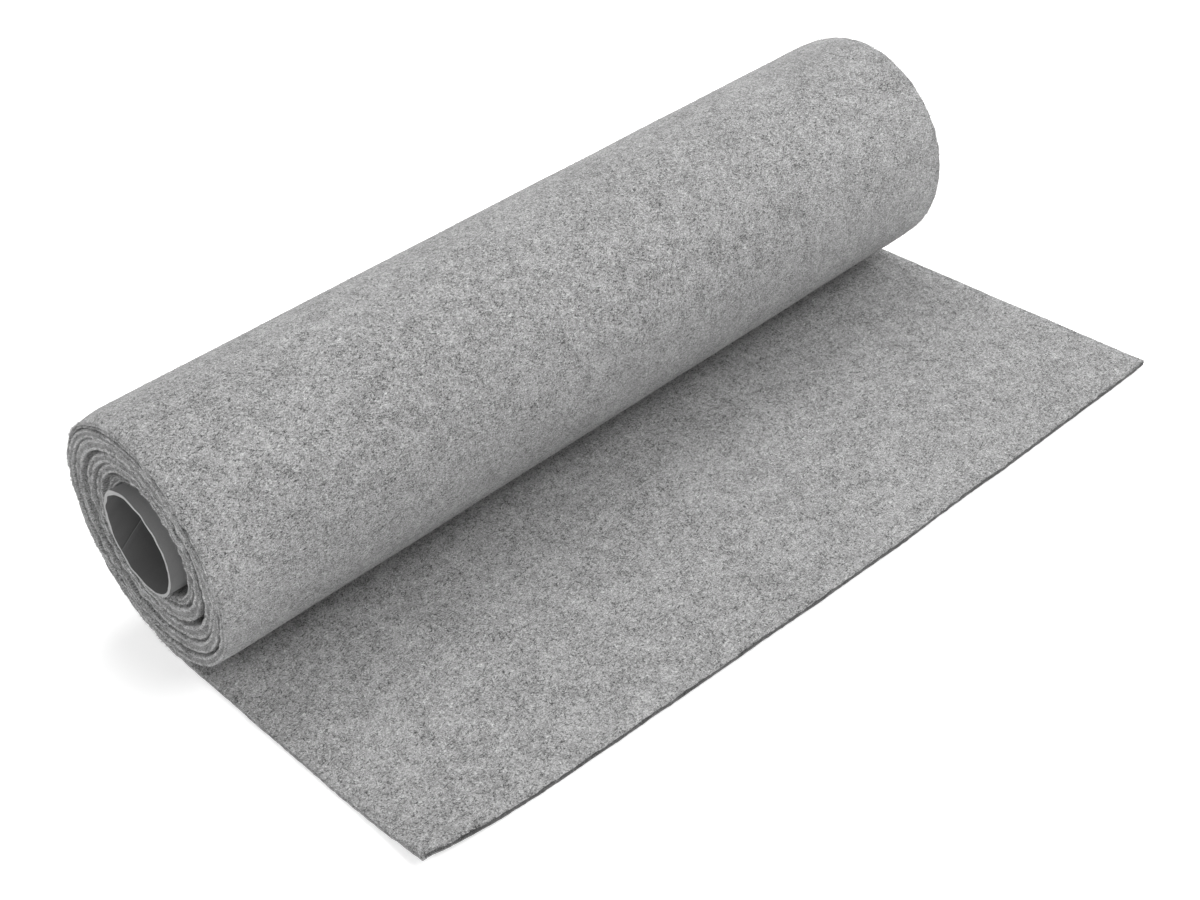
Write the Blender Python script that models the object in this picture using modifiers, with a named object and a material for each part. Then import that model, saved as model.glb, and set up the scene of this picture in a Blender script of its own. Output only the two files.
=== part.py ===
"""Roll of felt: one strip of grey felt wound five and a half turns round a thin core tube.

The roll's axis lies along X. The strip's loose end comes out from under the roll and lies on the
floor towards -Y. The origin is under the middle of the whole part, on the floor. Units are metres.
"""

import math

import bmesh
import bpy
from mathutils import Vector

# The felt strip
FELT_WIDTH = 0.450
FELT_THICKNESS = 0.0032
TURNS = 5.5
STEPS_PER_TURN = 28

# The loose end: how far it reaches from the roll's axis, and how much less at the near corner
LOOSE_REACH = 0.184
LOOSE_SKEW = 0.0176
LOOSE_STEPS = 12
CORNER_LIFT = 0.005
CORNER_LIFT_REACH = 0.060

# Where the rows of faces lie across the strip, as shares of its width from the near end
CROSS_STATIONS = (0.0, 0.05, 0.12, 0.45, 0.95, 1.0)

# The core tube, a little taller than it is wide
TUBE_HALF_WIDTH = 0.0234
TUBE_HALF_HEIGHT = 0.0254
TUBE_WALL = 0.0013
TUBE_LENGTH = 0.4520
TUBE_OUT_OF_ROLL = 0.0026
TUBE_SIDES = 40
TUBE_AXIS_Y = 0.0008
TUBE_AXIS_Z = 0.0643

# Each turn's outer face, in millimetres from the tube's axis, and how far the turn's near edge
# lies behind the roll's nominal near end. The third and fourth turns stand well apart. The last
# row repeats the one before it, to carry the curve past the strip's inner end.
WINDING_COLUMNS = ("below", "behind", "above", "in_front", "near_edge")
WINDING = (
    (64.3, 58.2, 58.1, 56.4, 0.0),
    (57.3, 54.2, 53.2, 51.3, -1.7),
    (50.7, 50.0, 48.5, 45.8, -1.0),
    (44.3, 43.0, 41.2, 36.2, 0.2),
    (37.2, 37.9, 35.2, 30.0, 1.0),
    (29.1, 30.4, 30.2, 26.8, 1.7),
    (29.1, 30.4, 30.2, 26.8, 1.7),
)
QUARTERS = 4

FELT_COLOUR = (0.34, 0.34, 0.34, 1.0)
FELT_ROUGHNESS = 1.0
TUBE_COLOUR = (0.42, 0.42, 0.41, 1.0)
TUBE_ROUGHNESS = 0.8


def clear_scene():
    for obj in list(bpy.data.objects):
        bpy.data.objects.remove(obj, do_unlink=True)


def make_material(name, colour, roughness):
    material = bpy.data.materials.new(name)
    material.use_nodes = True
    shader = material.node_tree.nodes["Principled BSDF"]
    shader.inputs["Base Color"].default_value = colour
    shader.inputs["Roughness"].default_value = roughness
    shader.inputs["Metallic"].default_value = 0.0
    return material


def add_object(name, mesh, material, collection):
    obj = bpy.data.objects.new(name, mesh)
    obj.data.materials.append(material)
    collection.objects.link(obj)
    return obj


def quarter_radius(quarter):
    """The outer face's distance from the tube's axis at a whole quarter turn, in metres."""
    turn, side = divmod(max(quarter, 0), QUARTERS)
    return WINDING[min(turn, len(WINDING) - 1)][side] / 1000


def outer_radius(turn):
    """The same distance at any turn, on a smooth curve through the quarter turns."""
    place = turn * QUARTERS
    first = math.floor(place)
    part = place - first
    before, start, end, after = (quarter_radius(first + step) for step in (-1, 0, 1, 2))
    slope_start = (end - before) / 2
    slope_end = (after - start) / 2
    return (
        start * (2 * part**3 - 3 * part**2 + 1)
        + slope_start * (part**3 - 2 * part**2 + part)
        + end * (3 * part**2 - 2 * part**3)
        + slope_end * (part**3 - part**2)
    )


def near_edge(turn):
    """How far the near edge of this turn lies behind the nominal near end, in metres."""
    column = WINDING_COLUMNS.index("near_edge")
    first = math.floor(turn)
    start = WINDING[first][column]
    end = WINDING[first + 1][column]
    return (start + (end - start) * (turn - first)) / 1000


def wound_point(across, turn):
    """A point of the strip's middle layer in the roll, winding up the back and over the top."""
    radius = outer_radius(turn) - FELT_THICKNESS / 2
    angle = turn * 2 * math.pi
    x = (across - 0.5) * FELT_WIDTH + near_edge(turn)
    y = TUBE_AXIS_Y + radius * math.sin(angle)
    z = TUBE_AXIS_Z - radius * math.cos(angle)
    return Vector((x, y, z))


def loose_point(across, along):
    """A point of the loose end's middle layer. along runs from 0 at its front edge to 1."""
    x = (across - 0.5) * FELT_WIDTH
    reach = LOOSE_REACH - LOOSE_SKEW * (1 - across) ** 2
    y = TUBE_AXIS_Y - (reach + TUBE_AXIS_Y) * (1 - along)
    from_corner = math.hypot(across * FELT_WIDTH, along * LOOSE_REACH)
    nearness = max(0.0, 1 - from_corner / CORNER_LIFT_REACH)
    z = FELT_THICKNESS / 2 + CORNER_LIFT * nearness**2
    return Vector((x, y, z))


def make_felt(material, collection):
    """A flat grid of faces, each point of it carried to its place in the strip's middle layer."""
    wound_steps = round(TURNS * STEPS_PER_TURN)
    steps = LOOSE_STEPS + wound_steps
    stations = len(CROSS_STATIONS) - 1
    cloth = bmesh.new()
    bmesh.ops.create_grid(cloth, x_segments=stations, y_segments=steps, size=0.5)
    for vert in cloth.verts:
        across = CROSS_STATIONS[round((vert.co.x + 0.5) * stations)]
        step = round((vert.co.y + 0.5) * steps)
        if step < LOOSE_STEPS:
            vert.co = loose_point(across, step / LOOSE_STEPS)
        else:
            vert.co = wound_point(across, TURNS * (step - LOOSE_STEPS) / wound_steps)
    mesh = bpy.data.meshes.new("felt")
    cloth.to_mesh(mesh)
    cloth.free()
    mesh.shade_smooth()
    felt = add_object("felt", mesh, material, collection)
    shell = felt.modifiers.new("thickness", "SOLIDIFY")
    shell.thickness = FELT_THICKNESS
    shell.offset = 0.0
    shell.use_even_offset = True
    return felt


def make_core_tube(material, collection):
    """An open tube with a thin wall, standing a little out of the roll's near end."""
    tube = bmesh.new()
    bmesh.ops.create_cone(
        tube, cap_ends=False, segments=TUBE_SIDES, radius1=1.0, radius2=1.0, depth=TUBE_LENGTH
    )
    middle_x = (TUBE_LENGTH - FELT_WIDTH) / 2 - TUBE_OUT_OF_ROLL
    for vert in tube.verts:
        side, up, along = vert.co
        vert.co = Vector((
            middle_x + along,
            TUBE_AXIS_Y + side * TUBE_HALF_WIDTH,
            TUBE_AXIS_Z + up * TUBE_HALF_HEIGHT,
        ))
    bmesh.ops.recalc_face_normals(tube, faces=tube.faces)
    mesh = bpy.data.meshes.new("core_tube")
    tube.to_mesh(mesh)
    tube.free()
    mesh.shade_smooth()
    core = add_object("core_tube", mesh, material, collection)
    shell = core.modifiers.new("wall", "SOLIDIFY")
    shell.thickness = TUBE_WALL
    shell.offset = -1.0
    shell.use_even_offset = True
    return core


def stand_on_origin(objects):
    """Moves the objects so that the middle of their shared box stands on the origin."""
    bpy.context.view_layer.update()
    graph = bpy.context.evaluated_depsgraph_get()
    points = [
        obj.matrix_world @ vert.co
        for obj in objects
        for vert in obj.evaluated_get(graph).data.vertices
    ]
    low = Vector(min(point[axis] for point in points) for axis in range(3))
    high = Vector(max(point[axis] for point in points) for axis in range(3))
    foot = Vector(((low.x + high.x) / 2, (low.y + high.y) / 2, low.z))
    for obj in objects:
        obj.location -= foot


def main():
    clear_scene()
    collection = bpy.data.collections.new("roll_of_felt")
    bpy.context.scene.collection.children.link(collection)
    felt_material = make_material("felt", FELT_COLOUR, FELT_ROUGHNESS)
    tube_material = make_material("tube_board", TUBE_COLOUR, TUBE_ROUGHNESS)
    felt = make_felt(felt_material, collection)
    core = make_core_tube(tube_material, collection)
    stand_on_origin((felt, core))


main()
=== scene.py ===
"""The looks of the roll of felt: the strip and the tube as fine meshes, their materials, the light and
the camera. Units are metres. The roll's near end faces -X, and its loose end lies towards -Y.
"""

import math

import bpy
import numpy as np
from mathutils import Matrix, Vector, noise


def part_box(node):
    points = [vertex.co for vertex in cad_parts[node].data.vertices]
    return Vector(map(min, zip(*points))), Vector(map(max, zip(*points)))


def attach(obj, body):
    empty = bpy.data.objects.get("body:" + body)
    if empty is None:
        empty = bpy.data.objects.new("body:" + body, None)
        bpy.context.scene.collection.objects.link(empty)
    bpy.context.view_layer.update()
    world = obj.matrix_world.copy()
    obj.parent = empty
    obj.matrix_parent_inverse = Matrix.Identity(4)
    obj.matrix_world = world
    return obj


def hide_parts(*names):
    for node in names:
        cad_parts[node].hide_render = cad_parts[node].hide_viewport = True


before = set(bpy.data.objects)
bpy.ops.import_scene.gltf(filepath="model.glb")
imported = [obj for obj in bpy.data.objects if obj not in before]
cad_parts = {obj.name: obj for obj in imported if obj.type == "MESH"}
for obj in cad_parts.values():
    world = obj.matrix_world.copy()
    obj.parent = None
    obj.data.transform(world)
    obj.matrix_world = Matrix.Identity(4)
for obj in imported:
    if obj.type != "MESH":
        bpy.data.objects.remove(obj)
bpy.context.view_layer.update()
felt_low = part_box("felt")[0]
tube_low, tube_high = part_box("core_tube")

# The felt strip, as the solid has it
FELT_WIDTH = 0.450
FELT_THICKNESS = 0.0032
TURNS = 5.5
LOOSE_SKEW = 0.0176
CORNER_LIFT = 0.005
CORNER_LIFT_REACH = 0.060
TUBE_OUT_OF_ROLL = 0.0026
TUBE_AXIS = (tube_low + tube_high) / 2
ROLL_MIDDLE_X = tube_low.x + TUBE_OUT_OF_ROLL + FELT_WIDTH / 2
LOOSE_REACH = TUBE_AXIS.y - felt_low.y

# Each turn's outer face, in millimetres from the tube's axis, and how far the turn's near edge
# lies behind the roll's nominal near end. The last row carries the curve past the inner end.
WINDING_COLUMNS = ("below", "behind", "above", "in_front", "near_edge")
WINDING = (
    (64.3, 58.2, 58.1, 56.4, 0.0),
    (57.3, 54.2, 53.2, 51.3, -1.7),
    (50.7, 50.0, 48.5, 45.8, -1.0),
    (44.3, 43.0, 41.2, 36.2, 0.2),
    (37.2, 37.9, 35.2, 30.0, 1.0),
    (29.1, 30.4, 30.2, 26.8, 1.7),
    (29.1, 30.4, 30.2, 26.8, 1.7),
)
QUARTERS = 4

# Near the cut edges the soft felt swells into the air between the turns. The share of that air
# it takes up differs by side: below, behind, above, in front.
SWELLING_SHARES = (0.95, 0.12, 0.85, 0.35)
SWELLING_BAND = 0.016
SWELLING_BESIDE_TUBE = 0.1
LEAST_GAP = 0.0005
INNER_TAPER_TURNS = 0.12

# The strip's mesh: its rows of points and, over the cut, (place from the outer face at 1 to the
# inner face at -1, share of the cut's depth)
STEPS_PER_TURN = 168
LOOSE_STEPS = 60
MIDDLE_STATIONS = 26
EDGE_BAND_STATIONS = 7
HALF_CUT = ((0.95, 0.6), (0.76, 1.0), (0.42, 0.7))
CUT_PROFILE = HALF_CUT + ((0.0, 0.35),) + tuple((-up, depth) for up, depth in reversed(HALF_CUT))
CUT_DEPTH = 0.0009
CUT_RAGGEDNESS = 0.0008
CUT_RAG_SIZE = 0.0036
LOOSE_EDGE_SHARE = 0.4
INNER_END_THICKNESS = 0.25
SWELLING_ENDS_BEFORE_ROLL = 0.1

# How the surfaces stray, as sums of soft noises: (height, size of the lumps, seed)
SWAYS = ((0.00022, 0.050, 1), (0.00013, 0.016, 2))
NEAR_EDGE_WANDER = ((0.0006, 0.030, 11), (0.0004, 0.006, 12))
FAR_EDGE_WANDER = ((0.0006, 0.030, 21), (0.0004, 0.006, 22))
FRONT_EDGE_WANDER = ((0.0007, 0.034, 52), (0.0005, 0.009, 53), (0.0003, 0.0035, 54))
FRONT_CUT_RAGS = ((0.0005, 0.0045, 71), (0.0004, 0.0017, 72))
FRONT_CUT_RISE = ((0.0003, 0.0040, 73),)

# The loose end's front edge: its lift off the floor, and the bead of cut felt along it, each point
# (how far in front of the strip's edge, share of the thickness, share of the raggedness)
FRONT_LIFT = 0.0011
FRONT_LIFT_REACH = 0.030
FRONT_LIFT_SIZE = 0.060
FRONT_LIFT_SEED = 51
FRONT_EDGE_STATIONS = 420
FRONT_EDGE_PROFILE = (
    (-0.0012, 0.97, 0.2), (-0.0004, 1.01, 0.5), (0.0003, 0.99, 1.0), (0.0006, 0.90, 1.0),
    (0.0004, 0.65, 0.9), (0.0005, 0.40, 0.9), (0.0002, 0.12, 0.7), (-0.0012, 0.08, 0.2),
)
FRONT_EDGE_CUT_FACES = slice(3, 7)
LEAST_HEIGHT = 0.0001

# How the outermost turn's rims are rounded off, most where the near rim droops
RIM_ROUNDING = 0.0005
RIM_DROOP = 0.0018
RIM_DROOP_TURN = 0.42
RIM_DROOP_SPREAD = 0.13
RIM_REACH = 0.013

# Loose fibres: how many stand out of each cut, and how many lie on the felt's faces
END_FIBRES = 19000
SHEET_EDGE_FIBRES = 5000
FACE_FIBRES = 15000
FIBRE_RADIUS = 0.00007
FIBRE_TAPER = 0.8
FIBRE_BEND_AT = 0.55
LEAST_FIBRE_HEIGHT = 0.0004
FIBRE_POINTS = 7

# The core tube
TUBE_WALL = 0.0013
TUBE_LENGTH = tube_high.x - tube_low.x
TUBE_COLUMNS = 96
TUBE_ROWS = 60
TUBE_SHIFT = Vector((-0.0003, 0.0020, 0.0012))
SEAM_PITCH = 0.27
SEAM_START = math.radians(55)
SEAM_WIDTH = 0.0009
SEAM_DEPTH = 0.00022
TUBE_END_WANDER = ((0.0006, 0.022, 31), (0.0004, 0.004, 41))
TORN_BOARD = 0.0005
TORN_BOARD_UNEVENNESS = ((0.0009, 0.006, 43),)

# The photo's camera
CAMERA_AZIMUTH = math.radians(-40.882)
CAMERA_ELEVATION = math.radians(37.418)
CAMERA_ROLL = math.radians(-4.76)
CAMERA_DISTANCE = 0.8622
CAMERA_TARGET = Vector((ROLL_MIDDLE_X - 0.0029, TUBE_AXIS.y - 0.0303, 0.0))
CAMERA_LENS = 53.38
SENSOR_WIDTH = 36.0

# Shades of grey, as shares of the light that the surface sends back
FELT_SHADE = 0.235
# Painted shade in the felt's cuts: how far the cut_shadow mask darkens the colour, and the painted shadow
# in the long cuts' grooves
CUT_PAINTED_SHADE = 0.84
GROOVE_PAINTED_SHADOW = 0.5
BOARD_SHADE = 0.19
# Painted shade inside the tube: darker than the outside board at the mouth, and darker still deeper in
BOARD_MOUTH_PAINTED_SHADE = 0.13
BOARD_DEEP_PAINTED_SHADE = 0.02
BOARD_PAINTED_SHADE_REACH = 0.032
BOARD_CUT_SHADE = 0.24
FLOOR_SHADE = 0.92
FLOOR_GLOW = 0.32

# The studio: the sky's strength, and soft lamps of one size (name, place, power)
SKY_STRENGTH = 0.44
LAMP_SIZE = 1.1
LAMPS = (
    ("back_soft_light", (0.5, 0.6, 1.5), 13.7),
    ("front_soft_light", (0.4, -1.0, 1.3), 16.0),
    ("left_soft_light", (-1.5, -0.2, 0.6), 12.7),
    ("right_soft_light", (1.6, -0.1, 0.8), 12.7),
)


def smooth_noise(x, y, z, size, seed):
    """Soft noise from about -1 to 1, its lumps about size across."""
    return noise.noise(Vector((x / size + seed * 17.3, y / size - seed * 5.1, z / size + seed * 9.7)))


def summed_noise(x, y, z, layers):
    return sum(height * smooth_noise(x, y, z, size, seed) for height, size, seed in layers)


def quarter_radius(quarter):
    """The outer face's distance from the tube's axis at a whole quarter turn."""
    turn, side = divmod(max(quarter, 0), QUARTERS)
    return WINDING[min(turn, len(WINDING) - 1)][side] / 1000


def outer_radius(turn):
    """The same distance at any turn, on a smooth curve through the quarter turns."""
    place = turn * QUARTERS
    first = math.floor(place)
    part = place - first
    before, start, end, after = (quarter_radius(first + step) for step in (-1, 0, 1, 2))
    slope_start = (end - before) / 2
    slope_end = (after - start) / 2
    return (
        start * (2 * part**3 - 3 * part**2 + 1)
        + slope_start * (part**3 - 2 * part**2 + part)
        + end * (3 * part**2 - 2 * part**3)
        + slope_end * (part**3 - part**2)
    )


def near_edge(turn):
    """How far the near edge of this turn lies behind the nominal near end."""
    column = WINDING_COLUMNS.index("near_edge")
    first = math.floor(turn)
    start = WINDING[first][column]
    end = WINDING[first + 1][column]
    return (start + (end - start) * (turn - first)) / 1000


def wound_point(across, turn):
    """A point of the strip's middle layer in the roll."""
    radius = outer_radius(turn) - FELT_THICKNESS / 2
    angle = turn * 2 * math.pi
    return (
        ROLL_MIDDLE_X + (across - 0.5) * FELT_WIDTH + near_edge(turn),
        TUBE_AXIS.y + radius * math.sin(angle),
        TUBE_AXIS.z - radius * math.cos(angle),
    )


def loose_point(across, along):
    """A point of the loose end's middle layer. along runs from 0 at its front edge to 1."""
    reach = LOOSE_REACH - LOOSE_SKEW * (1 - across) ** 2
    from_corner = math.hypot(across * FELT_WIDTH, along * LOOSE_REACH)
    nearness = max(0.0, 1 - from_corner / CORNER_LIFT_REACH)
    return (
        ROLL_MIDDLE_X + (across - 0.5) * FELT_WIDTH,
        TUBE_AXIS.y - reach * (1 - along),
        FELT_THICKNESS / 2 + CORNER_LIFT * nearness**2,
    )


def tube_radius(side):
    """The tube's outer radius below, behind, above or in front of its axis."""
    across = (tube_high.y - tube_low.y) / 2
    upright = (tube_high.z - tube_low.z) / 2
    return across if side % 2 else upright


def quarter_swelling(quarter):
    """How much thicker the felt is at its cut edges, at a whole quarter turn."""
    side = quarter % QUARTERS
    wound_inside = quarter + QUARTERS <= TURNS * QUARTERS
    inside = quarter_radius(quarter + QUARTERS) if wound_inside else tube_radius(side)
    air = quarter_radius(quarter) - inside - FELT_THICKNESS - LEAST_GAP
    share = SWELLING_SHARES[side] if wound_inside else SWELLING_BESIDE_TUBE
    return share * max(0.0, air)


def swelling(turn):
    """The same at any turn, eased from each quarter turn to the next."""
    place = max(turn, 0.0) * QUARTERS
    first = math.floor(place)
    part = place - first
    part = part * part * (3 - 2 * part)
    return quarter_swelling(first) * (1 - part) + quarter_swelling(first + 1) * part


def soft_step(share):
    share = np.clip(share, 0.0, 1.0)
    return share * share * (3 - 2 * share)


def cross_stations():
    """Shares of the strip's width at which its rows have points, close together near both edges."""
    band = SWELLING_BAND / FELT_WIDTH
    first = CUT_DEPTH / FELT_WIDTH
    near = np.linspace(first, band, EDGE_BAND_STATIONS, endpoint=False)
    middle = np.linspace(band, 1 - band, MIDDLE_STATIONS, endpoint=False)
    far = np.linspace(1 - band, 1 - first, EDGE_BAND_STATIONS + 1)
    return np.concatenate([near, middle, far])


def strip_rows():
    """The strip's rows of points: (share of the loose end, None) or (None, turn in the roll)."""
    rows = [(step / LOOSE_STEPS, None) for step in range(LOOSE_STEPS)]
    wound_steps = round(TURNS * STEPS_PER_TURN)
    rows += [(None, TURNS * step / wound_steps) for step in range(wound_steps + 1)]
    return rows


def middle_layer(rows, stations):
    """The strip's middle layer as an array of points, one row of stations after another."""
    return np.array([
        [loose_point(across, along) if turn is None else wound_point(across, turn) for across in stations]
        for along, turn in rows
    ])


def layer_normals(points):
    """Unit normals of a grid of points, towards the roll's outside."""
    along = np.gradient(points, axis=0)
    across = np.gradient(points, axis=1)
    normals = np.cross(along, across)
    return normals / np.linalg.norm(normals, axis=2, keepdims=True)


def add_sways(middle, normals):
    """Moves the middle layer in and out a little, in slow sways and small lumps."""
    for row in range(middle.shape[0]):
        for station in range(middle.shape[1]):
            stray = summed_noise(*middle[row, station], SWAYS)
            middle[row, station] += normals[row, station] * stray


def wander_cut_edges(rows, middle):
    """Moves the strip's two long cut edges, and the rows' ends with them, a little along X."""
    ways = np.linspace(-1, 1, middle.shape[1])
    share = np.abs(ways) ** 8
    for row, (_, turn) in enumerate(rows):
        _, y, z = middle[row, 0]
        layer = 0.1 * (turn or 0.0)
        for wander, places in ((NEAR_EDGE_WANDER, ways < 0), (FAR_EDGE_WANDER, ways > 0)):
            stray = summed_noise(layer, y, z, wander)
            stray *= LOOSE_EDGE_SHARE if turn is None else 1.0
            middle[row, places, 0] += share[places] * stray


def lift_front_edge(rows, middle):
    """The loose end's front edge: an uneven cut that stands a little off the floor here and there."""
    for row, (along, _) in enumerate(rows):
        if along is None:
            continue
        nearness = max(0.0, 1 - along * LOOSE_REACH / FRONT_LIFT_REACH) ** 2
        for station in range(middle.shape[1]):
            x = middle[row, station, 0]
            unevenness = smooth_noise(x, 0, 0, FRONT_LIFT_SIZE, FRONT_LIFT_SEED)
            middle[row, station, 1] += nearness * summed_noise(x, 0, 0, FRONT_EDGE_WANDER)
            middle[row, station, 2] += nearness * FRONT_LIFT * (0.5 + 0.5 * unevenness)


def layer_depths(rows, stations):
    """The felt's thickness at each point of the middle layer."""
    edge = np.minimum(stations, 1 - stations) * FELT_WIDTH
    band = 1 - soft_step(edge / SWELLING_BAND)
    depths = []
    for along, turn in rows:
        extra = swelling(turn or 0.0)
        if turn is None:
            extra *= float(soft_step(1 - (1 - along) / SWELLING_ENDS_BEFORE_ROLL))
        taper = 1.0
        if turn is not None:
            full = float(soft_step((TURNS - turn) / INNER_TAPER_TURNS))
            taper = INNER_END_THICKNESS + (1 - INNER_END_THICKNESS) * full
        depths.append((FELT_THICKNESS + extra * band) * taper)
    return np.array(depths)


def round_outer_rims(rows, stations, outer, normals):
    """Rounds off the outermost turn's two rims, most where the near rim droops at the upper back."""
    for row, (_, turn) in enumerate(rows):
        if turn is None or turn > 1:
            continue
        droop = RIM_DROOP * math.exp(-((turn - RIM_DROOP_TURN) / RIM_DROOP_SPREAD) ** 2)
        for station, across in enumerate(stations):
            nearness = 1 - min(across, 1 - across) * FELT_WIDTH / RIM_REACH
            if nearness > 0:
                inwards = RIM_ROUNDING + (droop if across < 0.5 else droop / 2)
                outer[row, station] -= normals[row, station] * inwards * nearness**2


def cut_points(outer, inner, way, rows, seed):
    """Points over one long cut of the strip, from its outer to its inner face, with a ragged surface."""
    points = []
    for up, depth in CUT_PROFILE:
        share = (1 - up) / 2
        column = outer * (1 - share) + inner * share
        for row, (_, turn) in enumerate(rows):
            _, y, z = column[row]
            layer = 0.02 * share + 0.1 * (turn or 0.0)
            ragged = CUT_RAGGEDNESS * smooth_noise(layer, y, z, CUT_RAG_SIZE, seed)
            ragged *= LOOSE_EDGE_SHARE if turn is None else 1.0
            column[row, 0] += way * (CUT_DEPTH * depth + ragged)
        points.append(column)
    return points


def make_strip_mesh():
    rows = strip_rows()
    stations = cross_stations()
    middle = middle_layer(rows, stations)
    normals = layer_normals(middle)
    add_sways(middle, normals)
    wander_cut_edges(rows, middle)
    lift_front_edge(rows, middle)
    outer = middle + normals * FELT_THICKNESS / 2
    inner = outer - normals * layer_depths(rows, stations)[..., None]
    round_outer_rims(rows, stations, outer, normals)
    near_cut = cut_points(outer[:, 0], inner[:, 0], -1, rows, 61)
    far_cut = cut_points(outer[:, -1], inner[:, -1], 1, rows, 62)
    columns = [outer[:, station] for station in range(len(stations))]
    columns += far_cut
    columns += [inner[:, station] for station in reversed(range(len(stations)))]
    columns += reversed(near_cut)
    loops = np.stack(columns, axis=1)
    return strip_mesh(loops, len(stations), len(CUT_PROFILE)), outer, inner


def point_grid(loops):
    """The number of each point in loops of points, and of the next point round its loop."""
    count, around = loops.shape[:2]
    corner = np.arange(count * around).reshape(count, around)
    return corner, np.roll(corner, -1, axis=1)


def new_mesh(name, points, faces):
    mesh = bpy.data.meshes.new(name)
    mesh.from_pydata(points.reshape(-1, 3).tolist(), [], faces)
    return mesh


def keep_cut_shadow(mesh, walls):
    """Stores how much painted shade darkens each face in the cuts. The faces after the walls get none."""
    rest = len(mesh.polygons) - walls.size
    values = np.concatenate([walls.ravel(), np.zeros(rest, dtype=np.float32)])
    mesh.attributes.new("cut_shadow", "FLOAT", "FACE").data.foreach_set("value", values)


def strip_mesh(loops, face_points, cut_count):
    """A closed mesh through loops of points round the strip, with its two short cuts closed.

    Each loop runs over the outer face, the far cut, the inner face and the near cut.
    """
    corner, after = point_grid(loops)
    walls = np.stack([corner[:-1], after[:-1], after[1:], corner[1:]], axis=-1).reshape(-1, 4)
    faces = walls.tolist()
    for loop, flip in ((corner[0], True), (corner[-1], False)):
        for face in end_faces([int(point) for point in loop], face_points, cut_count):
            faces.append(face[::-1] if flip else face)
    mesh = new_mesh("felt", loops, faces)
    mesh.validate()
    mesh.shade_smooth()
    mesh.set_sharp_from_angle(angle=math.radians(60))
    # The middle of each long cut is a shallow groove, darkened with painted shadow
    shadow = np.zeros((len(loops) - 1, loops.shape[1]), dtype=np.float32)
    groove = slice(cut_count // 2 - 1, cut_count // 2 + 1)
    for start in (face_points, 2 * face_points + cut_count):
        shadow[:, start:start + cut_count][:, groove] = GROOVE_PAINTED_SHADOW
    keep_cut_shadow(mesh, shadow)
    return mesh


def front_edge_mesh(inner):
    """The loose end's front cut as a dense ragged bead over the strip's plain front edge."""
    line = inner[0]
    places = np.linspace(line[0, 0] - CUT_DEPTH, line[-1, 0] + CUT_DEPTH, FRONT_EDGE_STATIONS)
    tops = np.stack([np.interp(places, line[:, 0], line[:, axis]) for axis in range(3)], axis=-1)
    loops = []
    for place, top in zip(places, tops):
        loop = []
        for number, (ahead, share, part) in enumerate(FRONT_EDGE_PROFILE):
            ragged = summed_noise(place, 0.01 * number, 0, FRONT_CUT_RAGS)
            rise = summed_noise(place, 0.02 * number, 0, FRONT_CUT_RISE)
            height = max(LEAST_HEIGHT, top[2] - (1 - share) * FELT_THICKNESS + rise * part)
            loop.append((top[0], top[1] - ahead - ragged * part, height))
        loops.append(loop)
    loops = np.array(loops)
    corner, after = point_grid(loops)
    walls = np.stack([corner[:-1], corner[1:], after[1:], after[:-1]], axis=-1).reshape(-1, 4)
    faces = walls.tolist() + [corner[0].tolist(), corner[-1][::-1].tolist()]
    mesh = new_mesh("front_edge", loops, faces)
    mesh.shade_smooth()
    # Painted shade: the bead's cut faces take the full cut_shadow mask, a painted shadow along the front
    # edge
    shadow = np.zeros((len(loops) - 1, loops.shape[1]), dtype=np.float32)
    shadow[:, FRONT_EDGE_CUT_FACES] = 1.0
    keep_cut_shadow(mesh, shadow)
    return mesh


def end_faces(loop, face_points, cut_count):
    """Faces over one short cut: a strip of quads between the two faces, and one at each long cut."""
    outer = loop[:face_points]
    inner = loop[face_points + cut_count:2 * face_points + cut_count][::-1]
    far_cut = loop[face_points:face_points + cut_count]
    near_cut = loop[2 * face_points + cut_count:]
    faces = [
        [outer[place], outer[place + 1], inner[place + 1], inner[place]]
        for place in range(face_points - 1)
    ]
    faces.append([outer[-1]] + far_cut + [inner[-1]])
    faces.append([inner[0]] + near_cut + [outer[0]])
    return faces


def unit(vectors):
    """The vectors at a length of one."""
    return vectors / np.maximum(np.linalg.norm(vectors, axis=-1, keepdims=True), 1e-9)


def fibre_mesh(name, roots, ways, lengths, random):
    """Short closed tapered fibres, each bent once: three sides, a root, a middle and a tip."""
    count = len(roots)
    into_floor = roots[:, 2] + ways[:, 2] * lengths < LEAST_FIBRE_HEIGHT
    ways[into_floor, 2] = np.abs(ways[into_floor, 2])
    side = unit(np.cross(ways, random.normal(size=(count, 3))))
    other = np.cross(ways, side)
    bend = side * lengths[:, None] * random.uniform(0.1, 0.35, size=(count, 1))
    middles = roots + ways * lengths[:, None] * FIBRE_BEND_AT + bend
    tips = roots + ways * lengths[:, None]
    angles = 2 * math.pi * np.arange(3) / 3
    spokes = side[:, None] * np.cos(angles)[:, None] + other[:, None] * np.sin(angles)[:, None]
    root_ring = roots[:, None] + spokes * FIBRE_RADIUS
    middle_ring = middles[:, None] + spokes * FIBRE_RADIUS * FIBRE_TAPER
    points = np.concatenate([root_ring, middle_ring, tips[:, None]], axis=1)
    pattern = [(2, 1, 0), (0, 1, 4), (0, 4, 3), (1, 2, 5), (1, 5, 4), (2, 0, 3), (2, 3, 5)]
    pattern += [(3, 4, 6), (4, 5, 6), (5, 3, 6)]
    faces = np.arange(count)[:, None, None] * FIBRE_POINTS + np.array(pattern)[None]
    return new_mesh(name, points, faces.reshape(-1, 3).tolist())


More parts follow.
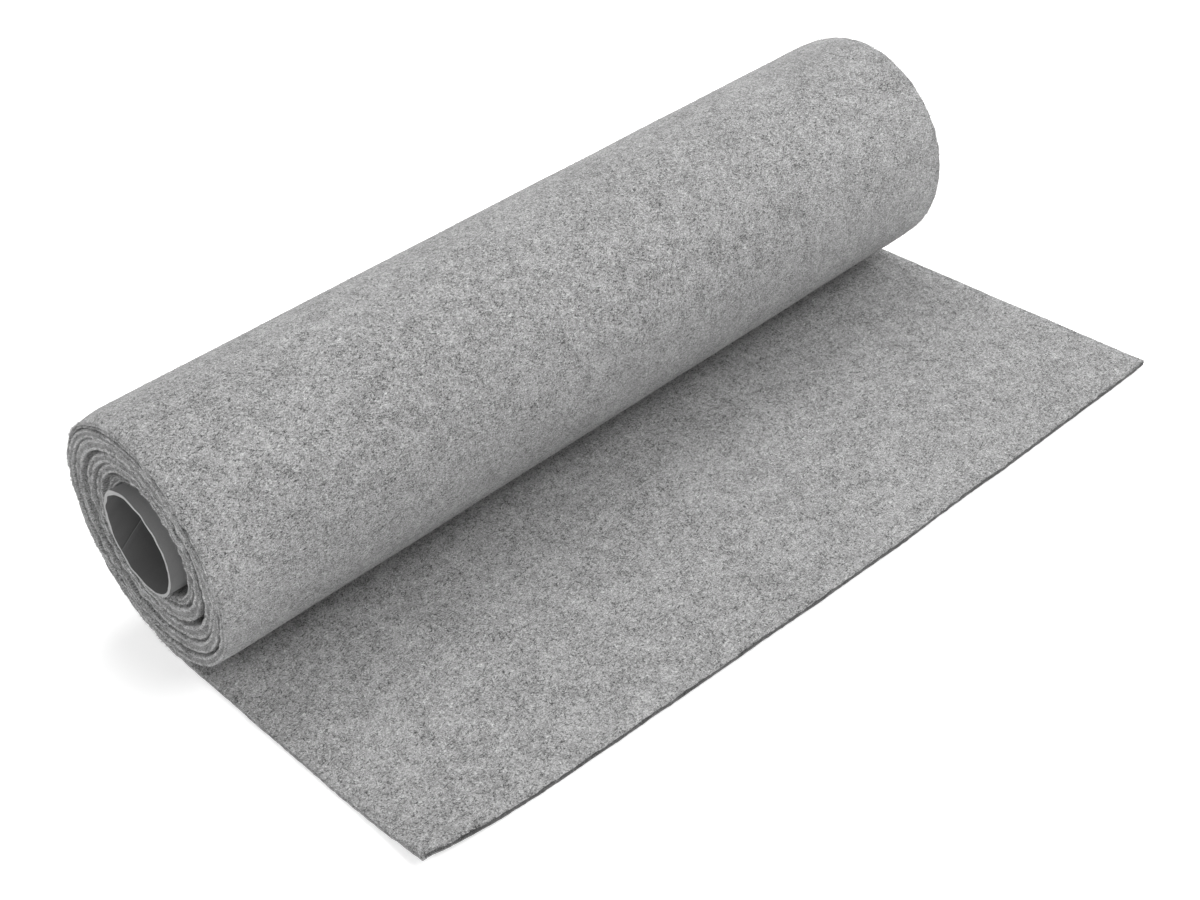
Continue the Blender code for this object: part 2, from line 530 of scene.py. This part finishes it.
def end_fibres(outer, inner, end, way, seed):
    """Fibres out of one end of the roll: they stand on the cut, many of them by its outer rim."""
    random = np.random.RandomState(seed)
    rows = random.randint(LOOSE_STEPS, len(outer) - 1, END_FIBRES)
    at_rim = random.uniform(size=END_FIBRES) < 0.45
    rim_shares = random.beta(0.5, 4.0, END_FIBRES)
    even_shares = random.uniform(0.05, 0.95, END_FIBRES)
    shares = np.where(at_rim, rim_shares, even_shares)[:, None]
    between = random.uniform(size=(END_FIBRES, 1))
    top = outer[rows, end] * (1 - between) + outer[rows + 1, end] * between
    low = inner[rows, end] * (1 - between) + inner[rows + 1, end] * between
    roots = top * (1 - shares) + low * shares
    outward = unit(top - low)
    spread = random.normal(size=(END_FIBRES, 3)) * 0.55
    ways = unit(np.array([way * 0.6, 0.0, 0.0]) + spread + outward * (0.5 - shares) * 0.9)
    lengths = random.uniform(0.0008, 0.0024, END_FIBRES)
    return fibre_mesh("end_fibres", roots, ways, lengths, random)


def sheet_edge_fibres(outer, inner, seed):
    """Fibres out of the loose end's three cut edges."""
    random = np.random.RandomState(seed)
    count = SHEET_EDGE_FIBRES
    stations = outer.shape[1]
    rows = random.randint(0, LOOSE_STEPS, count)
    places = random.randint(0, stations - 1, count)
    edge = random.choice(3, count, p=(0.4, 0.3, 0.3))
    rows = np.where(edge == 0, 0, rows)
    places = np.where(edge == 1, 0, np.where(edge == 2, stations - 1, places))
    step = np.where(edge == 0, random.uniform(size=count), 0.0)[:, None]
    beside = np.minimum(places + 1, stations - 1)
    after = np.where(edge == 0, rows, rows + 1)
    shift = np.where(edge == 0, 0.0, random.uniform(size=count))[:, None]

    def place_on(layer):
        along_edge = layer[rows, places] * (1 - step) + layer[rows, beside] * step
        return along_edge * (1 - shift) + layer[after, places] * shift

    shares = random.beta(0.6, 1.6, count)[:, None]
    roots = place_on(inner) * (1 - shares) + place_on(outer) * shares
    out = np.array([(0.0, -1.0, 0.0), (-1.0, 0.0, 0.0), (1.0, 0.0, 0.0)])[edge]
    ways = unit(out * 0.7 + random.normal(size=(count, 3)) * 0.5)
    ways[:, 2] = np.abs(ways[:, 2])
    lengths = random.uniform(0.0005, 0.0014, count)
    return fibre_mesh("sheet_edge_fibres", roots, ways, lengths, random)


def face_fibres(outer, inner, seed):
    """Fibres that lie on the outermost turn and on the loose end's top, barely raised."""
    random = np.random.RandomState(seed)
    count = FACE_FIBRES
    rows = random.randint(0, LOOSE_STEPS + STEPS_PER_TURN - 2, count)
    share = random.uniform(0.001, 0.999, count) * FELT_WIDTH
    x_row = outer[rows, :, 0]
    places = np.array([np.searchsorted(line, line[0] + reach) for line, reach in zip(x_row, share)])
    places = np.clip(places, 1, outer.shape[1] - 1)
    mix = random.uniform(size=(count, 1))
    slip = random.uniform(size=(count, 1))

    def place_on(layer):
        here = layer[rows, places - 1] * mix + layer[rows, places] * (1 - mix)
        ahead = layer[rows + 1, places - 1] * mix + layer[rows + 1, places] * (1 - mix)
        return here * (1 - slip) + ahead * slip

    on_outer = place_on(outer)
    on_inner = place_on(inner)
    loose = (rows < LOOSE_STEPS)[:, None]
    roots = np.where(loose, on_inner, on_outer)
    outward = unit(on_outer - on_inner) * np.where(loose, -1, 1)
    flat = random.normal(size=(count, 3))
    flat -= outward * np.sum(flat * outward, axis=1, keepdims=True)
    ways = unit(unit(flat) + outward * random.uniform(0.02, 0.35, size=(count, 1)))
    lengths = random.uniform(0.001, 0.0032, count)
    return fibre_mesh("face_fibres", roots, ways, lengths, random)


def make_tube_mesh():
    """The tube's wall as loops round it, skewed so that one column follows the spiral seam."""
    half_width = (tube_high.y - tube_low.y) / 2
    half_height = (tube_high.z - tube_low.z) / 2
    seam_step = SEAM_WIDTH / half_width
    angles = np.concatenate([
        np.array([-1.0, -0.5, 0.0, 0.5]) * seam_step,
        np.linspace(seam_step, 2 * math.pi - seam_step, TUBE_COLUMNS, endpoint=False),
    ])
    in_seam = np.zeros(len(angles))
    in_seam[1:3] = 1.0
    places = tube_low.x + TUBE_LENGTH * np.linspace(0, 1, TUBE_ROWS)
    walls = []
    for inset in (SEAM_DEPTH * in_seam, TUBE_WALL - SEAM_DEPTH * in_seam):
        wall = []
        for x in places:
            turned = angles + SEAM_START + 2 * math.pi * (x - tube_low.x) / SEAM_PITCH
            wall.append(np.stack([
                np.full(len(angles), x + TUBE_SHIFT.x),
                TUBE_AXIS.y + TUBE_SHIFT.y + (half_width - inset) * np.sin(turned),
                TUBE_AXIS.z + TUBE_SHIFT.z - (half_height - inset) * np.cos(turned),
            ], axis=-1))
        walls.append(np.array(wall))
    outer, inner = walls
    fray_tube_ends(outer, inner)
    loops = np.concatenate([outer, inner[::-1]])
    corner, after = point_grid(loops)
    below = np.roll(corner, -1, axis=0)
    below_after = np.roll(after, -1, axis=0)
    faces = np.stack([corner, below, below_after, after], axis=-1).reshape(-1, 4)
    mesh = new_mesh("core_tube", loops, faces.tolist())
    mesh.shade_smooth()
    mesh.set_sharp_from_angle(angle=math.radians(40))
    # Zones of the surface: 0 outside and in the seam, 1 inside with painted shade, 2 the cut ends
    zone = np.zeros(corner.shape, dtype=np.int32)
    zone[TUBE_ROWS:] = 1
    zone[TUBE_ROWS:, 1] = 0
    zone[TUBE_ROWS - 1] = 2
    zone[-1] = 2
    mesh.attributes.new("zone", "INT", "FACE").data.foreach_set("value", zone.ravel())
    return mesh


def fray_tube_ends(outer, inner):
    """The tube's hand cut ends: their edge wanders along X, and torn board stands into the mouth."""
    axis = TUBE_AXIS + TUBE_SHIFT
    for row, sign in ((0, 1), (-1, -1)):
        for wall in (outer, inner):
            for point in wall[row]:
                layers = [(height, size, seed + row) for height, size, seed in TUBE_END_WANDER]
                point[0] += sign * summed_noise(0, point[1], point[2], layers)
        for point in inner[row]:
            layers = [(height, size, seed + row) for height, size, seed in TORN_BOARD_UNEVENNESS]
            torn = TORN_BOARD + summed_noise(0, point[1], point[2], layers)
            half_width = (tube_high.y - tube_low.y) / 2
            upper_back = 0.5 + 0.35 * (point[1] - axis.y + point[2] - axis.z) / half_width
            inwards = Vector((0.0, axis.y - point[1], axis.z - point[2])).normalized()
            point += np.array(inwards) * max(0.0, torn) * max(0.1, upper_back)


class Nodes:
    """A material's nodes, added one at a time."""

    def __init__(self, name, roughness):
        self.material = bpy.data.materials.new(name)
        self.material.use_nodes = True
        self.tree = self.material.node_tree
        self.shader = self.tree.nodes["Principled BSDF"]
        self.shader.inputs["Roughness"].default_value = roughness
        self.place = self.tree.nodes.new("ShaderNodeTexCoord").outputs["Object"]

    def link(self, source, target):
        """Links a socket, or sets a plain value."""
        if hasattr(source, "is_linked"):
            self.tree.links.new(source, target)
        else:
            target.default_value = source

    def math(self, operation, first, second=0.0):
        node = self.tree.nodes.new("ShaderNodeMath")
        node.operation = operation
        self.link(first, node.inputs[0])
        self.link(second, node.inputs[1])
        return node.outputs[0]

    def stretched(self, scale, turn=(0, 0, 0), offset=0.0):
        """Coordinates in which a pattern is turned and drawn out by scale along its own axes."""
        node = self.tree.nodes.new("ShaderNodeMapping")
        node.vector_type = "TEXTURE"
        node.inputs["Scale"].default_value = scale
        node.inputs["Rotation"].default_value = turn
        node.inputs["Location"].default_value = (offset, offset * 0.7, -offset)
        self.link(self.place, node.inputs["Vector"])
        return node.outputs[0]

    def noise(self, scale, detail=2.0, rough=0.5, distortion=0.0, place=None):
        node = self.tree.nodes.new("ShaderNodeTexNoise")
        node.inputs["Scale"].default_value = scale
        node.inputs["Detail"].default_value = detail
        node.inputs["Roughness"].default_value = rough
        node.inputs["Distortion"].default_value = distortion
        self.link(place or self.place, node.inputs["Vector"])
        return node.outputs["Fac"]

    def ramp(self, value, low, high, to_low=0.0, to_high=1.0):
        node = self.tree.nodes.new("ShaderNodeMapRange")
        self.link(value, node.inputs["Value"])
        node.inputs["From Min"].default_value = low
        node.inputs["From Max"].default_value = high
        node.inputs["To Min"].default_value = to_low
        node.inputs["To Max"].default_value = to_high
        return node.outputs["Result"]

    def bump(self, height, strength, distance):
        node = self.tree.nodes.new("ShaderNodeBump")
        node.inputs["Strength"].default_value = strength
        node.inputs["Distance"].default_value = distance
        self.link(height, node.inputs["Height"])
        self.link(node.outputs["Normal"], self.shader.inputs["Normal"])

    def grey(self, value):
        node = self.tree.nodes.new("ShaderNodeCombineColor")
        for channel in ("Red", "Green", "Blue"):
            self.link(value, node.inputs[channel])
        self.link(node.outputs["Color"], self.shader.inputs["Base Color"])


# The directions in which the felt's fibres are drawn out, as turns of the pattern's space
FIBRE_TURNS = ((0.1, 0.0, 0.3), (0.3, 0.1, 1.1), (-0.2, 0.2, 1.9), (0.2, -0.3, 2.7))
FIBRE_STRETCH = (4.0, 0.9, 0.9)


def fibre_strokes(nodes, scale, low, high, first_offset):
    """Short strokes in several directions, 1 on a fibre and 0 off it."""
    total = 0.0
    for number, turn in enumerate(FIBRE_TURNS):
        place = nodes.stretched(FIBRE_STRETCH, turn, first_offset + 0.31 * number)
        field = nodes.noise(scale, detail=1.0, distortion=0.3, place=place)
        total = nodes.math("ADD", total, nodes.ramp(field, low, high))
    return total


def felt_material():
    """Needled felt: light and dark grey fibres mixed, in soft clouds, with a fine dull nap."""
    nodes = Nodes("felt", roughness=1.0)
    nodes.shader.inputs["Specular IOR Level"].default_value = 0.1
    nodes.shader.inputs["Sheen Weight"].default_value = 0.2
    nodes.shader.inputs["Sheen Roughness"].default_value = 0.6
    clouds = nodes.noise(24.0, 3.0, 0.6)
    patches = nodes.noise(120.0, 3.0, 0.6)
    flecks = nodes.noise(420.0, 2.0, 0.6)
    grain = nodes.noise(1300.0, 3.0, 0.85)
    dark = fibre_strokes(nodes, 1500.0, 0.60, 0.70, 0.2)
    light = fibre_strokes(nodes, 1700.0, 0.60, 0.70, 4.0)
    shade = nodes.math("ADD", 1.02, nodes.ramp(clouds, 0.25, 0.75, -0.09, 0.09))
    shade = nodes.math("ADD", shade, nodes.ramp(patches, 0.25, 0.75, -0.22, 0.22))
    shade = nodes.math("ADD", shade, nodes.ramp(flecks, 0.25, 0.75, -0.26, 0.26))
    shade = nodes.math("ADD", shade, nodes.ramp(grain, 0.25, 0.75, -0.74, 0.74))
    shade = nodes.math("SUBTRACT", shade, nodes.math("MULTIPLY", dark, 0.55))
    shade = nodes.math("ADD", shade, nodes.math("MULTIPLY", light, 0.50))
    shade = nodes.math("MAXIMUM", shade, 0.15)
    # Painted shade in the cuts: the cut_shadow mask darkens the base colour
    cut = nodes.tree.nodes.new("ShaderNodeAttribute")
    cut.attribute_name = "cut_shadow"
    in_cut = nodes.math("SUBTRACT", 1.0, nodes.math("MULTIPLY", cut.outputs["Fac"], CUT_PAINTED_SHADE))
    nodes.grey(nodes.math("MULTIPLY", nodes.math("MULTIPLY", shade, FELT_SHADE), in_cut))
    height = nodes.math("ADD", grain, nodes.math("MULTIPLY", light, 0.3))
    nodes.bump(nodes.math("ADD", height, nodes.math("MULTIPLY", flecks, 0.8)), 0.5, 0.0005)
    return nodes.material


def board_material(name, shade, painted_deep_shade=None):
    """Smooth grey spiral wound board with faint fibres, and painted shade darkening it inwards to a deep
    shade.
    """
    nodes = Nodes(name, roughness=0.75)
    nodes.shader.inputs["Specular IOR Level"].default_value = 0.3
    clouds = nodes.noise(60.0, 3.0, 0.6)
    grain = nodes.noise(1500.0, 3.0, 0.7, place=nodes.stretched((0.35, 1.0, 1.0)))
    value = nodes.math("ADD", 1.0, nodes.ramp(clouds, 0.2, 0.8, -0.1, 0.1))
    value = nodes.math("ADD", value, nodes.ramp(grain, 0.2, 0.8, -0.12, 0.12))
    if painted_deep_shade is not None:
        axes = nodes.tree.nodes.new("ShaderNodeSeparateXYZ")
        nodes.link(nodes.place, axes.inputs[0])
        deep = tube_low.x + BOARD_PAINTED_SHADE_REACH
        shade = nodes.ramp(axes.outputs["X"], tube_low.x, deep, shade, painted_deep_shade)
    nodes.grey(nodes.math("MULTIPLY", value, shade))
    nodes.bump(grain, 0.15, 0.0002)
    return nodes.material


def add_piece(name, mesh, material, replaces):
    piece = bpy.data.objects.new(name, mesh)
    bpy.context.scene.collection.objects.link(piece)
    mesh.materials.append(material)
    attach(piece, "root")
    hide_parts(replaces)
    return piece


def make_felt():
    material = felt_material()
    mesh, outer, inner = make_strip_mesh()
    strip = add_piece("felt_strip", mesh, material, "felt")
    fuzz = {
        "front_edge": front_edge_mesh(inner),
        "near_end_fibres": end_fibres(outer, inner, 0, -1, 5),
        "far_end_fibres": end_fibres(outer, inner, -1, 1, 6),
        "sheet_edge_fibres": sheet_edge_fibres(outer, inner, 7),
        "face_fibres": face_fibres(outer, inner, 8),
    }
    for name, fibres in fuzz.items():
        add_piece(name, fibres, material, "felt")


def make_tube():
    mesh = make_tube_mesh()
    outside = board_material("tube_board", BOARD_SHADE)
    add_piece("board_tube", mesh, outside, "core_tube")
    # The inside is a darker copy of the board with painted shade, darkest deep in the tube
    mesh.materials.append(board_material("tube_inside_painted_shade", BOARD_MOUTH_PAINTED_SHADE, BOARD_DEEP_PAINTED_SHADE))
    mesh.materials.append(board_material("tube_cut_end", BOARD_CUT_SHADE))
    zones = mesh.attributes["zone"].data
    for face in mesh.polygons:
        face.material_index = zones[face.index].value


def make_floor():
    bpy.ops.mesh.primitive_plane_add(size=8.0, location=(0, 0, -0.0002))
    floor = bpy.context.object
    floor.name = "floor"
    nodes = Nodes("floor", roughness=0.9)
    nodes.shader.inputs["Base Color"].default_value = (FLOOR_SHADE, FLOOR_SHADE, FLOOR_SHADE, 1.0)
    nodes.shader.inputs["Emission Color"].default_value = (1.0, 1.0, 1.0, 1.0)
    nodes.shader.inputs["Emission Strength"].default_value = FLOOR_GLOW
    nodes.shader.inputs["Specular IOR Level"].default_value = 0.1
    floor.data.materials.append(nodes.material)


def add_soft_lamp(name, place, power):
    """A round soft lamp that points at the origin."""
    light = bpy.data.lights.new(name, "AREA")
    light.shape = "DISK"
    light.size = LAMP_SIZE
    light.energy = power
    lamp = bpy.data.objects.new(name, light)
    lamp.location = place
    lamp.rotation_euler = (-Vector(place)).to_track_quat("-Z", "Y").to_euler()
    bpy.context.scene.collection.objects.link(lamp)


def light_the_scene():
    world = bpy.data.worlds.new("studio")
    bpy.context.scene.world = world
    world.use_nodes = True
    world.node_tree.nodes["Background"].inputs["Color"].default_value = (1, 1, 1, 1)
    world.node_tree.nodes["Background"].inputs["Strength"].default_value = SKY_STRENGTH
    for name, place, power in LAMPS:
        add_soft_lamp(name, place, power)
    bpy.context.scene.view_settings.view_transform = "Standard"


def add_camera():
    back = Vector((
        math.sin(CAMERA_AZIMUTH) * math.cos(CAMERA_ELEVATION),
        -math.cos(CAMERA_AZIMUTH) * math.cos(CAMERA_ELEVATION),
        math.sin(CAMERA_ELEVATION),
    ))
    level_right = Vector((math.cos(CAMERA_AZIMUTH), math.sin(CAMERA_AZIMUTH), 0.0))
    level_up = back.cross(level_right)
    right = math.cos(CAMERA_ROLL) * level_right + math.sin(CAMERA_ROLL) * level_up
    up = back.cross(right)
    data = bpy.data.cameras.new("camera")
    data.sensor_width = SENSOR_WIDTH
    data.lens = CAMERA_LENS
    data.clip_start = 0.01
    camera = bpy.data.objects.new("camera", data)
    turn = Matrix((right, up, back)).transposed().to_4x4()
    camera.matrix_world = Matrix.Translation(CAMERA_TARGET + back * CAMERA_DISTANCE) @ turn
    bpy.context.scene.collection.objects.link(camera)
    bpy.context.scene.camera = camera


add_camera()
make_felt()
make_tube()
make_floor()
light_the_scene()
